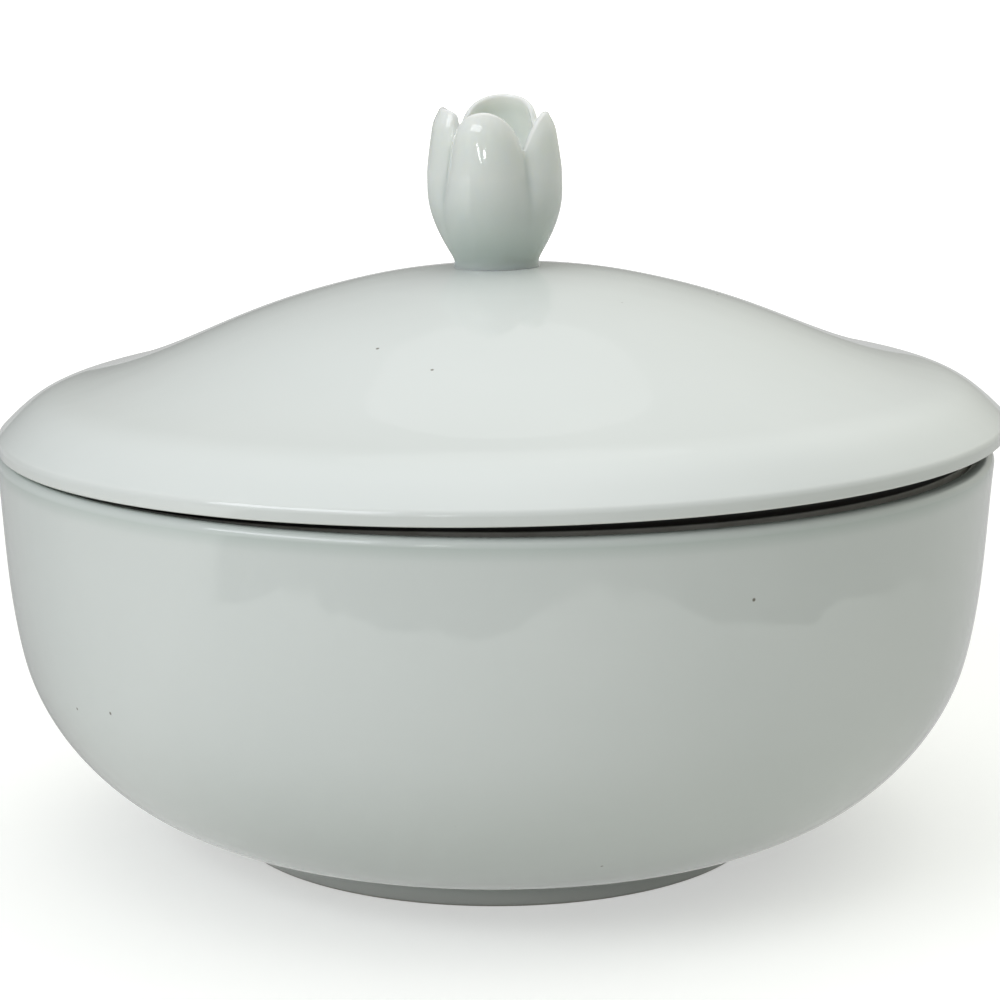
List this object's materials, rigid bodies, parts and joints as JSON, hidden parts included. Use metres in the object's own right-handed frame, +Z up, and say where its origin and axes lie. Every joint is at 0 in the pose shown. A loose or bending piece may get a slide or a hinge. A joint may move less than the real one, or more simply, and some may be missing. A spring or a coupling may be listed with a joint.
{
  "type": "lidded serving bowl",
  "caption": "Round glazed porcelain serving bowl on a foot ring, with a bell-shaped lift-off lid that a flange locates and a tulip-bud finial to lift it by.",
  "frame": {"origin": "on the bowl's axis, in the plane that the foot ring stands on", "axes": "+Z up along the bowl's axis; the front, where one petal of the finial nearly faces, is towards -Y; the lid's raised side is towards +X"},
  "size_m": [0.2226, 0.2222, 0.1646],
  "materials": {
    "bowl_glaze": "glossy grey-white glaze over porcelain",
    "lid_glaze": "glossy grey-white glaze over porcelain",
    "finial_glaze": "glossy grey-white glaze, thicker in the grooves between the petals"
  },
  "bodies": {
    "bowl": {"bowl": "bowl_glaze"},
    "lid": {"lid": "lid_glaze", "finial": "finial_glaze"}
  },
  "joints": [
    {"name": "lid_lift", "type": "slide", "parent": "bowl", "child": "lid", "axis": [0, 0, 1], "range_m": [0, 0.15]}
  ]
}
